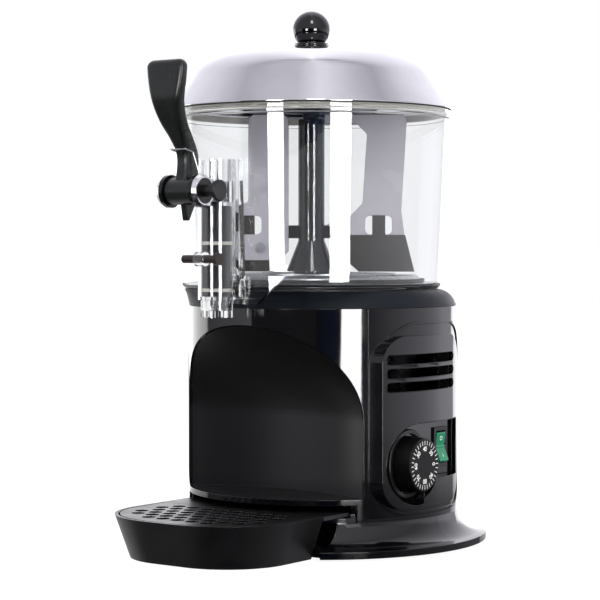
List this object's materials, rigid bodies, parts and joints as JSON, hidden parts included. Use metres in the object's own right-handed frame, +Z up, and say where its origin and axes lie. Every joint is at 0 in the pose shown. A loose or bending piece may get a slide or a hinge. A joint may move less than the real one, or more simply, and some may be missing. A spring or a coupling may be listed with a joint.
{
  "type": "hot chocolate dispenser",
  "caption": "Table-top hot chocolate dispenser: clear bowl with stirrer and domed lid on a heated black base, with a lever tap, drip tray, air slots, thermostat and switch.",
  "frame": {"origin": "on the table under the middle of the machine's overall box", "axes": "+Z up, -Y towards the tap and drip tray, +X towards the side with the dial"},
  "size_m": [0.26, 0.322, 0.4081],
  "materials": {
    "gloss_black": "moulded, polished",
    "satin_black": "moulded, fine satin grain",
    "collar_grey": "moulded, fine grain",
    "clear": "clear moulding, polished",
    "smoke": "translucent grey moulding",
    "scraper": "matt, flexible",
    "rubber": "matt",
    "silver": "polished",
    "steel": "rolled sheet or turned bar",
    "green": "translucent moulding",
    "cream": "moulded"
  },
  "bodies": {
    "machine": {"base_shell": "gloss_black", "base_plate": "steel", "rubber_feet": "rubber", "base_screws": "steel", "front_panel": "gloss_black", "side_cover_right": "gloss_black", "side_cover_left": "gloss_black", "air_louvres_right": "satin_black", "air_louvres_left": "satin_black", "rear_panel": "gloss_black", "lead_gland": "satin_black", "dial_bezel": "satin_black", "thermostat_body": "cream", "switch_body": "satin_black", "top_collar": "collar_grey", "heater_pan": "steel", "bowl_gasket": "rubber", "heater_element": "steel", "overheat_cutout": "steel", "drive_column": "satin_black", "chassis": "steel", "gearbox": "steel", "stirrer_motor": "steel", "terminal_block": "cream"},
    "bowl": {"bowl": "clear", "tap_body": "clear", "port_seal": "rubber", "tap_outlet": "clear", "pivot_rings": "clear", "pivot_caps": "satin_black", "pivot_pin": "satin_black", "cross_pin": "satin_black", "spill_guard": "clear"},
    "lid": {"lid": "silver", "lid_seal": "clear", "lid_knob": "gloss_black", "knob_screw": "steel"},
    "stirrer": {"stirrer_sleeve": "satin_black", "stirrer_nut": "satin_black", "drive_shaft": "steel", "outer_blade": "smoke", "inner_blade": "smoke", "outer_scraper": "scraper", "inner_scraper": "scraper", "blade_screws": "steel"},
    "lever": {"lever": "satin_black", "spring_clip": "steel"},
    "piston": {"piston": "satin_black", "piston_rings": "rubber"},
    "dial": {"thermostat_dial": "gloss_black", "dial_shaft": "steel"},
    "rocker": {"rocker": "green"},
    "tray": {"drip_tray": "satin_black"},
    "grid": {"drip_grid": "satin_black"}
  },
  "joints": [
    {"name": "bowl_lift", "type": "slide", "parent": "machine", "child": "bowl", "axis": [0, 0, 1], "range_m": [0, 0.15]},
    {"name": "lid_lift", "type": "slide", "parent": "bowl", "child": "lid", "axis": [0, 0, 1], "range_m": [0, 0.06]},
    {"name": "stirrer_turn", "type": "hinge", "parent": "machine", "child": "stirrer", "pos_m": [0, 0.021, 0.25], "axis": [0, 0, 1], "continuous": true},
    {"name": "lever_pull", "type": "hinge", "parent": "bowl", "child": "lever", "pos_m": [0, -0.132, 0.266], "axis": [1, 0, 0], "range_deg": [0, 40], "stiffness_Nm_per_rad": 0.3, "springref_deg": -17.19},
    {"name": "piston_rise", "type": "slide", "parent": "bowl", "child": "piston", "axis": [0, 0, 1], "range_m": [0, 0.022]},
    {"name": "dial_turn", "type": "hinge", "parent": "machine", "child": "dial", "pos_m": [0.1, 0.01, 0.065], "axis": [1, 0, 0], "range_deg": [-270, 0]},
    {"name": "rocker_tilt", "type": "hinge", "parent": "machine", "child": "rocker", "pos_m": [0.0955, 0.055, 0.0743], "axis": [0, 1, 0], "range_deg": [0, 14]},
    {"name": "tray_draw", "type": "slide", "parent": "machine", "child": "tray", "axis": [0, -1, 0], "range_m": [0, 0.1]},
    {"name": "grid_lift", "type": "slide", "parent": "tray", "child": "grid", "axis": [0, 0, 1], "range_m": [0, 0.05]}
  ],
  "couplings": [
    {"joint": "piston_rise", "follows": "lever_pull", "m_per_rad": 0.031305}
  ]
}
